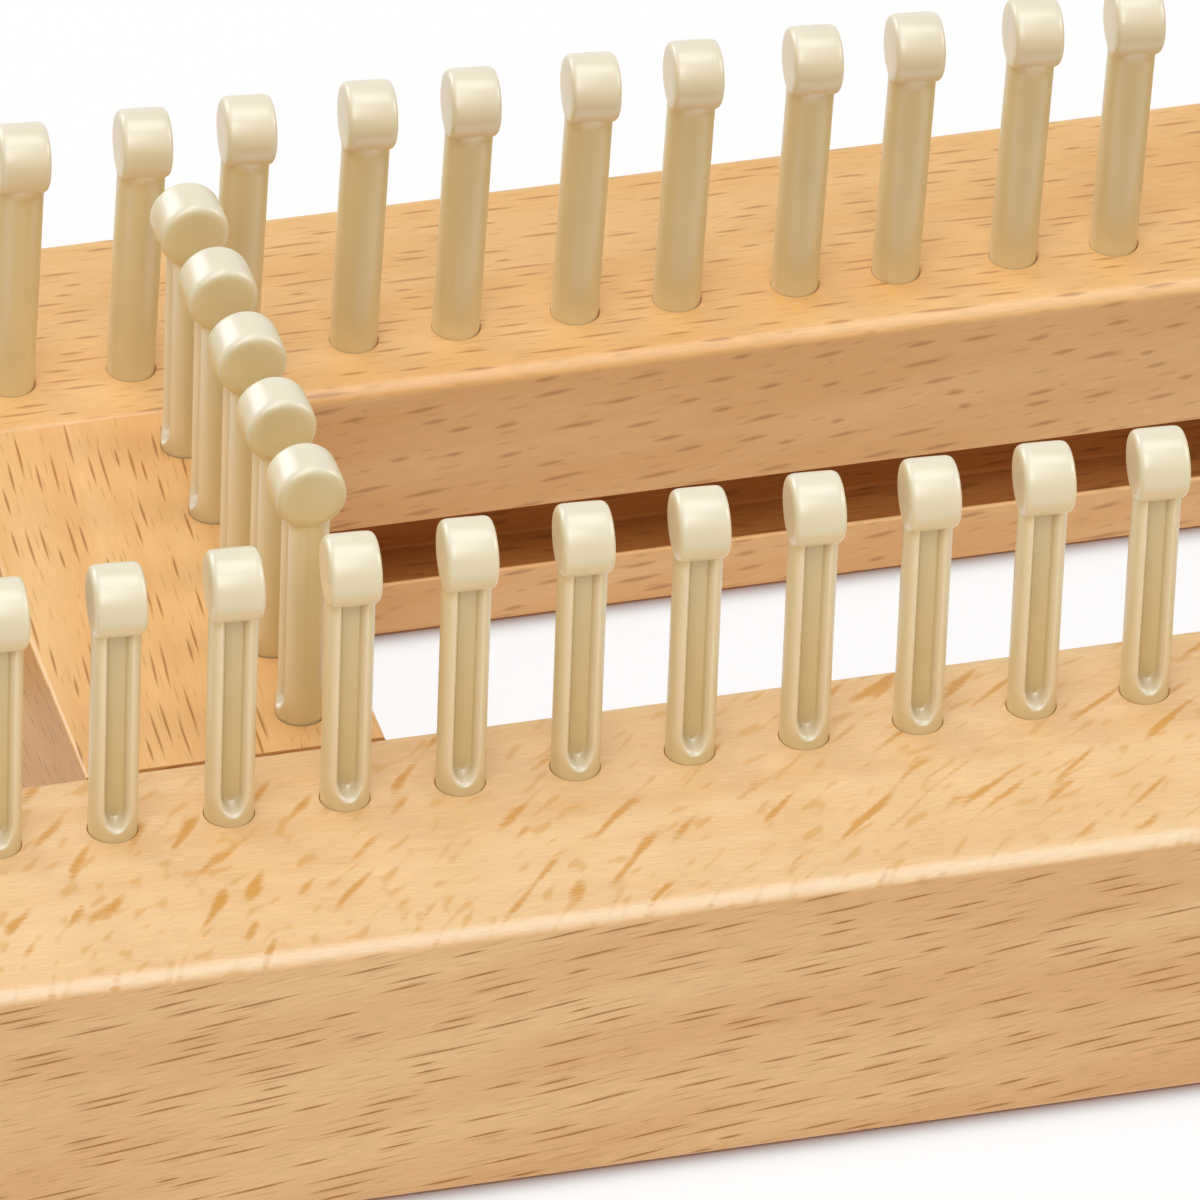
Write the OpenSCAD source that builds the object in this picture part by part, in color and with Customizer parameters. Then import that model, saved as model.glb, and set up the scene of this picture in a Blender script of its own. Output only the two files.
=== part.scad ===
// Sock knitting loom: two grooved beech rails with rows of hooked nylon pegs, a fixed end
// block, and a sliding block that sets how many pegs are in use. A cross bolt with a wing
// nut at each end pulls the rails together on the blocks.
// X runs along the rails towards the fixed end, Y across to the rear rail, Z up from the table.

/* [Peg rows] */
// Number of pegs along each rail
rail_peg_count = 24; // [12:1:36]
// Number of pegs across each block
block_peg_count = 5; // [2:1:7]
// Distance from one peg to the next in every row
peg_pitch = 9.525; // [8:0.005:12]
// Shift of the rear row along the rail, against the front row
rear_row_shift = -2; // [-3:0.1:3]
// From a rail's inner face to the middle of its peg row
row_inset = 7.2; // [6.8:0.1:12]

/* [Pegs] */
// Diameter of the shaft
peg_d = 4; // [3.4:0.1:4.6]
// Height of the peg above the wood
peg_height = 25.2; // [18:0.1:40]
// Length of the peg inside the wood
peg_stub = 9; // [6:0.5:13]
// Diameter of the barrel-shaped head
head_d = 5.9; // [5:0.1:7]
// Length of the head along its row
head_w = 4.3; // [3:0.1:6]
// Rounding of the head's two rims
head_round = 0.4; // [0.1:0.05:1]
// Width of the floor of the hook groove
hook_floor_w = 1.5; // [1:0.1:1.8]
// Width of the hook groove at the shaft's surface
hook_mouth_w = 2.3; // [1.9:0.1:2.8]
// Depth of the hook groove
hook_depth = 0.8; // [0.4:0.05:1.2]
// Plain shaft left between the wood and the hook groove
hook_foot = 1.6; // [0.8:0.1:5]
// Gap all round a peg in its hole
peg_fit = 0.03; // [0.01:0.01:0.1]

/* [Rails] */
// Width of a rail, front to back
rail_w = 27; // [22:0.5:40]
// Height of a rail
rail_h = 25.4; // [23:0.1:36]
// From the last peg of a row to the end of the rail
rail_end = 20; // [17:0.5:40]
// Rounding of the long edges
edge_round = 1.2; // [0.4:0.1:3]
// Height of the lip below the slide groove
groove_z = 5.2; // [3:0.1:6.5]
// Height of the slide groove
groove_h = 6; // [4:0.1:6.5]
// Depth of the slide groove
groove_depth = 5; // [3:0.1:7]

/* [Blocks] */
// Length of the sliding block along the rails
slider_len = 24.8; // [18:0.1:34]
// Number of front pegs left free behind the sliding block
free_peg_count = 4; // [3:1:7]
// From a block's peg row to its working edge
block_row_inset = 5.3; // [4:0.1:10]
// From the outer peg of a block to the rail
block_side = 4.95; // [4:0.05:12]
// Drop of the blocks' tops below the rails' tops
block_drop = 0.3; // [0:0.1:1]
// Rounding of a block's edges across the loom
block_round = 0.8; // [0.3:0.1:2]
// Gap between the sliding block and the rails
slide_fit = 0.25; // [0.1:0.05:0.5]
// Gap round the fixed block's tongue in its groove
tongue_fit = 0.1; // [0.05:0.05:0.3]
// Gap between the end of a tongue and the bottom of its groove
tongue_end_gap = 0.5; // [0.2:0.1:1]

/* [Clamp bolts] */
// Diameter of the bolt
bolt_d = 5; // [4:0.5:6]
// From the end of a rail to the bolt
bolt_end = 10; // [9:0.5:11]
// Height of the bolt above the table
bolt_z = 16.5; // [16:0.1:17.5]
// Bolt left sticking out past the wing nut
bolt_tail = 10.3; // [6:0.1:20]
// Chamfer of the bolt's tip
bolt_chamfer = 0.7; // [0.2:0.1:1.2]
// Diameter of the domed head
bolt_head_d = 13.5; // [10:0.1:15]
// Height of the domed head
bolt_head_h = 3.3; // [2:0.1:5]
// Length of the square neck under the head
neck_len = 3.5; // [2:0.1:6]
// Gap round the square neck
neck_fit = 0.05; // [0.02:0.01:0.2]
// Gap all round a bolt in the wood and in its washer
bolt_fit = 0.15; // [0.05:0.05:0.4]
// Diameter of the washer
washer_d = 15; // [13:0.5:17]
// Thickness of the washer
washer_t = 1.2; // [0.8:0.1:2]

/* [Wing nuts] */
// Diameter of the nut's hub at its seat
hub_base_d = 10; // [9:0.5:13]
// Diameter of the nut's hub at its top
hub_top_d = 8.4; // [8:0.1:9]
// Height of the nut's hub
hub_h = 6.5; // [5:0.5:9]
// Overall span of the two wings
wing_span = 25; // [22:0.5:30]
// Height of the wings above the seat
wing_h = 12.4; // [11:0.1:15]
// Radius of a wing's round tip
wing_tip_r = 3.9; // [3:0.1:4.2]
// Thickness of a wing
wing_t = 2.2; // [1.6:0.1:3]
// Height of a wing's root above the seat
wing_root = 0.8; // [0.4:0.1:2]
// Gap all round the bolt in its nut
thread_fit = 0.05; // [0.02:0.01:0.1]

/* [Hidden] */
$fn = 64;
// Extra length of a cut past the surface it opens
cut_over = 1;
rail_len = (rail_peg_count - 1) * peg_pitch + 2 * rail_end;
rail_gap = (block_peg_count - 1) * peg_pitch + 2 * block_side;
inner_y = rail_gap / 2;
outer_y = inner_y + rail_w;
row_y = inner_y + row_inset;
hole_d = peg_d + 2 * peg_fit;
bolt_hole_d = bolt_d + 2 * bolt_fit;
bolt_x = rail_len / 2 - bolt_end;
nut_seat_y = outer_y + washer_t;
bolt_len = outer_y + nut_seat_y + hub_h + bolt_tail;
bolt_tip_y = bolt_len - outer_y;
block_z = groove_z + slide_fit;
block_top = rail_h - block_drop;
slider_row_x = station_x(free_peg_count + 1);
slider_x = slider_row_x + block_row_inset - slider_len;
end_row_x = station_x(rail_peg_count);
end_block_x = end_row_x - block_row_inset;
end_block_len = rail_len / 2 - end_block_x;
// The origin is the middle of the whole loom, bolts included
box_mid_y = (max(bolt_tip_y, nut_seat_y + wing_h) - outer_y - bolt_head_h) / 2;

wood = "#DDB27C";
block_wood = "#E0B070";
nylon = "#ECE2C6";
zinc = "#B9BBBD";

// Place of a rail peg along the loom, counted from 1 at the left
function station_x(i) = (i - (rail_peg_count + 1) / 2) * peg_pitch;

// Place of a block peg across the loom, counted from 1 at the front
function across_y(i) = (i - (block_peg_count + 1) / 2) * peg_pitch;

// Moves a piece from the loom's own middle to the middle of the whole box
module placed() {
    translate([0, -box_mid_y, 0]) children();
}

// Rectangle with its four corners rounded
module rounded_rectangle(size, r) {
    translate([r, 0]) square([size.x - 2 * r, size.y]);
    translate([0, r]) square([size.x, size.y - 2 * r]);
    for (x = [r, size.x - r], y = [r, size.y - r]) translate([x, y]) circle(r);
}

// Turns an upright shape so that its top points to the rear
module lay_to_rear() {
    rotate([-90, 0, 0]) children();
}

// Barrel of a peg's head, lying along X
module peg_head() {
    half = head_d / 2;
    rotate([0, 90, 0]) translate([0, 0, -head_w / 2]) rotate_extrude() {
        square([half - head_round, head_w]);
        translate([0, head_round]) square([half, head_w - 2 * head_round]);
        for (z = [head_round, head_w - head_round]) translate([half - head_round, z]) circle(head_round);
    }
}

// Hook groove, open to the front, with a round lower end
module hook_groove() {
    floor_y = hook_depth - peg_d / 2;
    mouth_y = -peg_d / 2;
    flare = (hook_mouth_w - hook_floor_w) / hook_depth;
    open_w = hook_mouth_w + flare * cut_over;
    low_z = hook_foot + hook_mouth_w / 2;
    translate([0, 0, low_z]) linear_extrude(peg_height - head_d / 2 - low_z) polygon([
        [-hook_floor_w / 2, floor_y],
        [hook_floor_w / 2, floor_y],
        [open_w / 2, mouth_y - cut_over],
        [-open_w / 2, mouth_y - cut_over]
    ]);
    translate([0, floor_y, low_z]) rotate([90, 0, 0])
        cylinder(d1 = hook_floor_w, d2 = open_w, h = hook_depth + cut_over);
}

// One peg, standing on the wood at Z = 0, its hook groove to the front
module peg() {
    head_z = peg_height - head_d / 2;
    difference() {
        translate([0, 0, -peg_stub]) cylinder(d = peg_d, h = peg_stub + head_z);
        hook_groove();
    }
    translate([0, 0, head_z]) peg_head();
}

// Blind hole for a peg, its mouth at Z = 0
module peg_hole() {
    translate([0, 0, -peg_stub]) cylinder(d = hole_d, h = peg_stub + cut_over);
}

// Round hole for a clamp bolt, right through the loom
module bolt_hole() {
    translate([0, -outer_y - cut_over, bolt_z]) lay_to_rear()
        cylinder(d = bolt_hole_d, h = 2 * (outer_y + cut_over));
}

// Square pocket for a bolt's neck in the front rail
module neck_pocket() {
    pocket_w = bolt_d + 2 * neck_fit;
    translate([-pocket_w / 2, -outer_y - cut_over, bolt_z - pocket_w / 2])
        cube([pocket_w, neck_len + neck_fit + cut_over, pocket_w]);
}

// Grooved rail on the rear side, with the peg row shifted along it
module grooved_rail(row_shift) {
    difference() {
        translate([-rail_len / 2, inner_y, 0]) rotate([90, 0, 90]) linear_extrude(rail_len) difference() {
            rounded_rectangle([rail_w, rail_h], edge_round);
            translate([-cut_over, groove_z]) square([groove_depth + cut_over, groove_h]);
        }
        for (i = [1:rail_peg_count]) translate([station_x(i) + row_shift, row_y, rail_h]) peg_hole();
        for (side = [-1, 1]) translate([side * bolt_x, 0, 0]) bolt_hole();
    }
}

// Block between the rails with a tongue along each side
module tongued_block(len, side_gap, tongue_gap) {
    half_w = inner_y - side_gap;
    tongue_y = inner_y + groove_depth - tongue_end_gap;
    tongue_z = groove_z + tongue_gap;
    tongue_h = groove_h - 2 * tongue_gap;
    translate([0, half_w, block_z]) rotate([90, 0, 0]) linear_extrude(2 * half_w)
        rounded_rectangle([len, block_top - block_z], block_round);
    translate([block_round, -tongue_y, tongue_z]) cube([len - 2 * block_round, 2 * tongue_y, tongue_h]);
}

// Domed head of a bolt, its flat face at Z = 0
module bolt_dome() {
    dome_r = (pow(bolt_head_d / 2, 2) + pow(bolt_head_h, 2)) / (2 * bolt_head_h);
    rotate_extrude() intersection() {
        translate([0, dome_r - bolt_head_h]) circle(dome_r);
        translate([0, -bolt_head_h]) square([bolt_head_d / 2, bolt_head_h]);
    }
}

// Carriage bolt, its head on the front rail and its tip to the rear
module clamp_bolt(side) {
    color(zinc) placed() translate([side * bolt_x, -outer_y, bolt_z]) lay_to_rear() {
        bolt_dome();
        translate([-bolt_d / 2, -bolt_d / 2, 0]) cube([bolt_d, bolt_d, neck_len]);
        cylinder(d = bolt_d, h = bolt_len - bolt_chamfer);
        translate([0, 0, bolt_len - bolt_chamfer])
            cylinder(d1 = bolt_d, d2 = bolt_d - 2 * bolt_chamfer, h = bolt_chamfer);
    }
}

// Washer under a wing nut
module clamp_washer(side) {
    color(zinc) placed() translate([side * bolt_x, outer_y, bolt_z]) lay_to_rear() difference() {
        cylinder(d = washer_d, h = washer_t);
        translate([0, 0, -cut_over]) cylinder(d = bolt_hole_d, h = washer_t + 2 * cut_over);
    }
}

// One wing: a round tip and the web that joins it to the hub
module wing() {
    tip = [wing_span / 2 - wing_tip_r, wing_h - wing_tip_r];
    lean = atan2(tip.y, tip.x) - 90;
    edge = wing_tip_r * [cos(lean), sin(lean)];
    root_x = (hub_top_d + bolt_d) / 4;
    rotate([90, 0, 0]) translate([0, 0, -wing_t / 2]) linear_extrude(wing_t) {
        translate(tip) circle(wing_tip_r);
        polygon([[root_x, wing_root], tip + edge, tip - edge, [root_x, hub_h - wing_root]]);
    }
}

// Wing nut on a washer, its wings upright
module wing_nut(side) {
    nut_bore_d = bolt_d + 2 * thread_fit;
    color(zinc) placed() translate([side * bolt_x, nut_seat_y, bolt_z]) lay_to_rear() rotate(90) difference() {
        union() {
            cylinder(d1 = hub_base_d, d2 = hub_top_d, h = hub_h);
            for (turn = [0, 180]) rotate(turn) wing();
        }
        translate([0, 0, -cut_over]) cylinder(d = nut_bore_d, h = hub_h + 2 * cut_over);
    }
}

// Rail on the camera side of the loom, drilled for its pegs and both bolts
module front_rail() {
    color(wood) placed() difference() {
        mirror([0, 1, 0]) grooved_rail(0);
        for (side = [-1, 1]) translate([side * bolt_x, 0, 0]) neck_pocket();
    }
}

// Rail on the wing nut side of the loom
module rear_rail() {
    color(wood) placed() grooved_rail(rear_row_shift);
}

// Fixed block that closes the right end of the loom
module end_block() {
    color(block_wood) placed() difference() {
        translate([end_block_x, 0, 0]) tongued_block(end_block_len, 0, tongue_fit);
        for (i = [1:block_peg_count]) translate([end_row_x, across_y(i), block_top]) peg_hole();
        translate([bolt_x, 0, 0]) bolt_hole();
    }
}

// Block that runs in the rails' grooves and carries its own row of pegs
module slider_block() {
    color(block_wood) placed() difference() {
        translate([slider_x, 0, 0]) tongued_block(slider_len, slide_fit, slide_fit);
        for (i = [1:block_peg_count]) translate([slider_row_x, across_y(i), block_top]) peg_hole();
    }
}

// Row of pegs on the front rail, hook grooves to the front
module front_rail_pegs() {
    color(nylon) placed() for (i = [1:rail_peg_count]) translate([station_x(i), -row_y, rail_h]) peg();
}

// Row of pegs on the rear rail, hook grooves to the rear
module rear_rail_pegs() {
    color(nylon) placed() for (i = [1:rail_peg_count])
        translate([station_x(i) + rear_row_shift, row_y, rail_h]) rotate(180) peg();
}

// One peg of the sliding block, hook groove to the left
module slider_peg(i) {
    color(nylon) placed() translate([slider_row_x, across_y(i), block_top]) rotate(-90) peg();
}

// One peg of the fixed block, hook groove to the right
module end_peg(i) {
    color(nylon) placed() translate([end_row_x, across_y(i), block_top]) rotate(90) peg();
}

module left_bolt() clamp_bolt(-1);
module right_bolt() clamp_bolt(1);
module left_washer() clamp_washer(-1);
module right_washer() clamp_washer(1);
module left_wing_nut() wing_nut(-1);
module right_wing_nut() wing_nut(1);

front_rail();
rear_rail();
end_block();
slider_block();
front_rail_pegs();
rear_rail_pegs();
for (i = [1:block_peg_count]) slider_peg(i);
for (i = [1:block_peg_count]) end_peg(i);
left_bolt();
right_bolt();
left_washer();
right_washer();
left_wing_nut();
right_wing_nut();
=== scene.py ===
import math

import bmesh
import bpy
from mathutils import Matrix, Quaternion, Vector


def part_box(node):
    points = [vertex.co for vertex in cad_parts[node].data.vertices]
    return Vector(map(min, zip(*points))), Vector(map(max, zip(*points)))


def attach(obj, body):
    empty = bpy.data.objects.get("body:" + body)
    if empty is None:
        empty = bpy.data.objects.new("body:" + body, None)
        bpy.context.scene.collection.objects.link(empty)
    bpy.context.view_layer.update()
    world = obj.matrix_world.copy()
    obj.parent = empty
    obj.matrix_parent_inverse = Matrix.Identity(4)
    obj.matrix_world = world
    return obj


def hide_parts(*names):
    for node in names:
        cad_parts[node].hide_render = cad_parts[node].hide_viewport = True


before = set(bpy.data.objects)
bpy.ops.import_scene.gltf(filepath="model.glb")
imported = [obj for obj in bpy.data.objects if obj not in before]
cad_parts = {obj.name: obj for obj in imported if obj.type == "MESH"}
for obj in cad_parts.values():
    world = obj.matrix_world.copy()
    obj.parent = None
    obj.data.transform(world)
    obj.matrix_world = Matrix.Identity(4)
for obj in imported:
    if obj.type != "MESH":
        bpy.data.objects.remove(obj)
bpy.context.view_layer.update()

# Front rail: a length of beech, planed and sanded to a satin finish, with a quarter-sawn top and a
# flat-sawn front. A groove for the sliding block is milled along its inner side, its top is drilled
# for the pegs and its ends for the clamp bolts, whose square necks sit in square pockets.
mm = 0.001
tiny = 0.001 * mm
rail_round = 1.5 * mm
front_lip_round = 0.6 * mm
rail_foot_round = 0.5 * mm
rail_end_round = 0.3 * mm
groove_low = 5.2 * mm
groove_high = 11.2 * mm
groove_depth = 5 * mm
groove_round = 0.3 * mm
peg_hole_r = 2.03 * mm
peg_hole_edge = 0.06 * mm
peg_hole_depth = 9 * mm
peg_hole_spare = 0.5 * mm
bolt_hole_r = 2.65 * mm
bolt_hole_edge = 0.3 * mm
neck_pocket_w = 5.1 * mm
neck_pocket_depth = 3.55 * mm
rail_peg_count = 24
peg_head_w = 4.3 * mm
cut_over = 1 * mm
hole_sides = 48
wood_sharp = 35
rubbed_shine = 1.4
growth_cell = (45 * mm, 5 * mm)
waver_cell = 25 * mm
waver_reach = 1.2 * mm
# The fibre is drawn about twice as coarse as the pores of beech, so that it shows in a picture
fibre_cell = (2.2 * mm, 0.13 * mm)
fibre_relief = 0.03 * mm
# Rows of dashes are shifted against each other by up to this many cells, so that none line up
row_shift = 89


def round_edges(bm, radius, segments, chosen):
    """Rounds the edges whose two ends pass the test"""
    edges = [e for e in bm.edges if chosen(e.verts[0].co, e.verts[1].co)]
    bmesh.ops.bevel(bm, geom=edges, offset=radius, segments=segments, profile=0.5, affect="EDGES",
                    material=-1, clamp_overlap=True)


def extruded(bm, outline, travel):
    """Solid between a flat outline of points and its copy moved by travel"""
    face = bm.faces.new([bm.verts.new(point) for point in outline])
    grown = bmesh.ops.extrude_face_region(bm, geom=[face])["geom"]
    far_end = [g for g in grown if isinstance(g, bmesh.types.BMVert)]
    bmesh.ops.translate(bm, verts=far_end, vec=travel)
    bmesh.ops.recalc_face_normals(bm, faces=bm.faces)


def turned(bm, outline, steps):
    """Solid of revolution about Z from an outline of (radius, height) points"""
    points = [bm.verts.new((r, 0, z)) for r, z in outline]
    lines = [bm.edges.new(pair) for pair in zip(points, points[1:])]
    bmesh.ops.spin(bm, geom=points + lines, axis=(0, 0, 1), cent=(0, 0, 0), dvec=(0, 0, 0),
                   angle=2 * math.pi, steps=steps, use_merge=True, use_duplicate=False)
    bmesh.ops.remove_doubles(bm, verts=bm.verts, dist=tiny)
    bmesh.ops.recalc_face_normals(bm, faces=bm.faces)


def as_mesh(bm, name):
    """Mesh of a finished bmesh"""
    mesh = bpy.data.meshes.new(name)
    bm.to_mesh(mesh)
    bm.free()
    return mesh


def copies(name, mesh, places):
    """One mesh that holds a copy of another at each place"""
    bm = bmesh.new()
    for place in places:
        bm.from_mesh(mesh)
        bm.verts.ensure_lookup_table()
        bmesh.ops.transform(bm, matrix=place, verts=bm.verts[-len(mesh.vertices):])
    return as_mesh(bm, name)


def combined(name, mesh, tool, operation):
    """Mesh with a tool's shape cut out of it or joined to it"""
    body = bpy.data.objects.new(name, mesh)
    cutter = bpy.data.objects.new(name + "_tool", tool)
    for part in (body, cutter):
        bpy.context.scene.collection.objects.link(part)
    step = body.modifiers.new("step", "BOOLEAN")
    step.object = cutter
    step.operation = operation
    step.solver = "EXACT"
    result = bpy.data.meshes.new_from_object(body.evaluated_get(bpy.context.evaluated_depsgraph_get()))
    for part in (body, cutter):
        bpy.data.objects.remove(part)
    return result


def placed_piece(name, mesh, material, sharp_degrees, body, slot, *nodes):
    """Puts a finished mesh in the scene, riding on its body in place of its nodes"""
    mesh.materials.clear()
    mesh.materials.append(material)
    mesh.shade_smooth()
    mesh.set_sharp_from_angle(angle=math.radians(sharp_degrees))
    piece = bpy.data.objects.new(name, mesh)
    bpy.context.scene.collection.objects.link(piece)
    even = piece.modifiers.new("even shading", "WEIGHTED_NORMAL")
    even.keep_sharp = True
    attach(piece, body)
    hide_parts(*nodes)
    return piece


def peg_hole():
    """Blind hole for a peg with a slightly broken edge, its mouth at Z = 0"""
    bm = bmesh.new()
    wide_r = peg_hole_r + peg_hole_edge + cut_over
    bottom = -peg_hole_depth - peg_hole_spare
    turned(bm, [(0, bottom), (peg_hole_r, bottom), (peg_hole_r, -peg_hole_edge), (wide_r, cut_over),
                (0, cut_over)], hole_sides)
    return as_mesh(bm, "peg_hole")


def bolt_hole(length):
    """Round hole along Z for a clamp bolt with broken edges at both ends, centred on the origin"""
    bm = bmesh.new()
    wide_r = bolt_hole_r + bolt_hole_edge + cut_over
    end = length / 2
    turned(bm, [(0, -end - cut_over), (wide_r, -end - cut_over), (bolt_hole_r, bolt_hole_edge - end),
                (bolt_hole_r, end - bolt_hole_edge), (wide_r, end + cut_over), (0, end + cut_over)],
           hole_sides)
    return as_mesh(bm, "bolt_hole")


def rail_bar(low, high, inward, lip_round):
    """Bar along X with the slide groove in its side towards +Y (inward 1) or -Y (inward -1), its
    upper inner edge rounded on its own"""
    bm = bmesh.new()
    outer, inner = (low.y, high.y) if inward > 0 else (high.y, low.y)
    floor = inner - inward * groove_depth
    section = [(outer, low.z), (inner, low.z), (inner, groove_low), (floor, groove_low),
               (floor, groove_high), (inner, groove_high), (inner, high.z), (outer, high.z)]
    extruded(bm, [(low.x, y, z) for y, z in section], (high.x - low.x, 0, 0))

    def at_lip(a, b):
        return abs(a.x - b.x) > mm and a.z > high.z - tiny and abs(a.y - inner) < tiny

    def at_corner(a, b):
        return abs(a.x - b.x) > mm and a.z > high.z - tiny and abs(a.y - outer) < tiny

    def at_foot(a, b):
        return abs(a.x - b.x) > mm and a.z < low.z + tiny

    def in_groove(a, b):
        return abs(a.x - b.x) > mm and groove_low - tiny < a.z < groove_high + tiny

    def at_end(a, b):
        return abs(a.x - b.x) < tiny

    round_edges(bm, lip_round, 5, at_lip)
    round_edges(bm, rail_round, 5, at_corner)
    round_edges(bm, rail_foot_round, 4, at_foot)
    round_edges(bm, groove_round, 3, in_groove)
    round_edges(bm, rail_end_round, 3, at_end)
    return as_mesh(bm, "rail_bar")


def row_places(node):
    """Feet of the pegs of a rail's row, from the row's box"""
    low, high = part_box(node)
    first = low.x + peg_head_w / 2
    pitch = (high.x - low.x - peg_head_w) / (rail_peg_count - 1)
    middle_y = (low.y + high.y) / 2
    return [Vector((first + i * pitch, middle_y, rail_high.z)) for i in range(rail_peg_count)]


def drilled_rail(node, inward, lip_round, row, lean):
    """Rail with its bolt holes and its peg holes, which lean to the right, without the neck pockets"""
    low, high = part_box(node)
    rail = rail_bar(low, high, inward, lip_round)
    leaning = Matrix.Rotation(lean, 4, "Y")
    holes = copies("holes", peg_hole(), [Matrix.Translation(foot) @ leaning for foot in row])
    rail = combined(node, rail, holes, "DIFFERENCE")
    across = Matrix.Rotation(math.pi / 2, 4, "X")
    middle_y = (low.y + high.y) / 2
    ends = [Matrix.Translation((x, middle_y, bolt_z)) @ across for side, x in bolt_places]
    return combined(node, rail, copies("holes", bolt_hole(high.y - low.y), ends), "DIFFERENCE")


rail_low, rail_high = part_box("front_rail")
bolt_low, bolt_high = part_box("left_bolt")
left_bolt_x = (bolt_low.x + bolt_high.x) / 2
right_bolt_x = sum(corner.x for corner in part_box("right_bolt")) / 2
bolt_z = (bolt_low.z + bolt_high.z) / 2
bolt_places = (("left", left_bolt_x), ("right", right_bolt_x))
front_row = row_places("front_rail_pegs")
front_rail_mesh = drilled_rail("front_rail", 1, front_lip_round, front_row, 0)
pocket = bmesh.new()
bmesh.ops.create_cube(pocket, size=neck_pocket_w)
stretch = 2 * neck_pocket_depth / neck_pocket_w
bmesh.ops.scale(pocket, vec=(1, stretch, 1), verts=pocket.verts)
pockets = copies("pockets", as_mesh(pocket, "pocket"),
                 [Matrix.Translation((x, rail_low.y, bolt_z)) for side, x in bolt_places])
front_rail_mesh = combined("front_rail", front_rail_mesh, pockets, "DIFFERENCE")


def colour(code):
    """Linear colour of an sRGB hex value"""
    parts = [int(code[i:i + 2], 16) / 255 for i in (1, 3, 5)]
    return [p / 12.92 if p <= 0.04045 else ((p + 0.055) / 1.055) ** 2.4 for p in parts] + [1]


def add(tree, kind, inputs, **settings):
    """Adds a node, sets its properties and fills its inputs with values or links"""
    made = tree.nodes.new(kind)
    for name, value in settings.items():
        setattr(made, name, value)
    for socket, value in inputs.items():
        if isinstance(value, bpy.types.NodeSocket):
            tree.links.new(value, made.inputs[socket])
        else:
            made.inputs[socket].default_value = value
    return made


def new_material(name):
    """Empty material with its output"""
    material = bpy.data.materials.new(name)
    material.use_nodes = True
    material.node_tree.nodes.clear()
    return material, material.node_tree, add(material.node_tree, "ShaderNodeOutputMaterial", {})


def drawn_out(tree, place, turn, cell, detail):
    """Noise whose patches are drawn out to that length and width along the grain"""
    laid = add(tree, "ShaderNodeMapping", {"Vector": place, "Rotation": turn, "Scale": (*cell, mm)},
               vector_type="TEXTURE")
    return add(tree, "ShaderNodeTexNoise", {"Vector": laid.outputs[0], "Scale": 1, "Detail": detail},
               noise_dimensions="2D").outputs[0]


def flecks(tree, place, turn, thread, cell, start, soft, fray):
    """Broad sides of the rays: patches of noise with an edge that frays along the fibre"""
    spots = drawn_out(tree, place, turn, cell, 0)
    frayed = add(tree, "ShaderNodeMath", {0: thread, 1: fray, 2: spots}, operation="MULTIPLY_ADD")
    begin = start + fray / 2
    return add(tree, "ShaderNodeMapRange", {"Value": frayed.outputs[0], "From Min": begin,
                                            "From Max": begin + soft}, interpolation_type="SMOOTHSTEP")


def dashes(tree, place, turn, thread, cell, length, thick, soft):
    """Cut ends of the rays: thin pointed dashes along the grain, one to a cell, scattered in rows"""
    laid = add(tree, "ShaderNodeMapping", {"Vector": place, "Rotation": turn, "Scale": (*cell, mm)},
               vector_type="TEXTURE")
    parts = add(tree, "ShaderNodeSeparateXYZ", {0: laid.outputs[0]})
    row = add(tree, "ShaderNodeMath", {0: parts.outputs["Y"]}, operation="FLOOR")
    shift = add(tree, "ShaderNodeTexWhiteNoise", {"W": row.outputs[0]}, noise_dimensions="1D")
    run = add(tree, "ShaderNodeMath", {0: shift.outputs["Value"], 1: row_shift, 2: parts.outputs["X"]},
              operation="MULTIPLY_ADD")
    nearest = add(tree, "ShaderNodeTexVoronoi", {"W": run.outputs[0], "Scale": 1, "Randomness": 0.7},
                  voronoi_dimensions="1D")
    chance = add(tree, "ShaderNodeSeparateColor", {0: nearest.outputs["Color"]})
    middle = add(tree, "ShaderNodeMapRange", {"Value": chance.outputs["Red"], "To Min": 0.25,
                                              "To Max": 0.75})
    within = add(tree, "ShaderNodeMath", {0: parts.outputs["Y"]}, operation="FRACT")
    off = add(tree, "ShaderNodeMath", {0: within.outputs[0], 1: middle.outputs[0]}, operation="SUBTRACT")
    off = add(tree, "ShaderNodeMath", {0: off.outputs[0]}, operation="ABSOLUTE")
    reach = length / cell[0] / 2
    half_len = add(tree, "ShaderNodeMapRange", {"Value": chance.outputs["Green"], "To Min": 0.25 * reach,
                                                "To Max": reach})
    ratio = add(tree, "ShaderNodeMath", {0: nearest.outputs["Distance"], 1: half_len.outputs[0]},
                operation="DIVIDE")
    taper = add(tree, "ShaderNodeMath", {0: ratio.outputs[0], 1: 2}, operation="POWER")
    body = add(tree, "ShaderNodeMath", {0: off.outputs[0], 1: 2 * cell[1] / thick, 2: taper.outputs[0]},
               operation="MULTIPLY_ADD")
    return add(tree, "ShaderNodeMapRange", {"Value": body.outputs[0], "From Min": 1, "From Max": 1 - soft},
               interpolation_type="SMOOTHSTEP")


def facing(tree):
    """How much the surface faces along X, Y and Z, either way"""
    coords = add(tree, "ShaderNodeTexCoord", {})
    unsigned = add(tree, "ShaderNodeVectorMath", {0: coords.outputs["Normal"]}, operation="ABSOLUTE")
    return add(tree, "ShaderNodeSeparateXYZ", {0: unsigned.outputs[0]}).outputs


def rounded_edges(tree, **grain):
    """Rounded edges, told from the flats by the way they face, wherever the grain runs"""
    ways = facing(tree)
    flat = add(tree, "ShaderNodeMath", {0: ways["X"], 1: ways["Y"]}, operation="MAXIMUM")
    flat = add(tree, "ShaderNodeMath", {0: flat.outputs[0], 1: ways["Z"]}, operation="MAXIMUM")
    return add(tree, "ShaderNodeMapRange", {"Value": flat.outputs[0], "From Min": 0.97, "From Max": 0.8})


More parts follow.
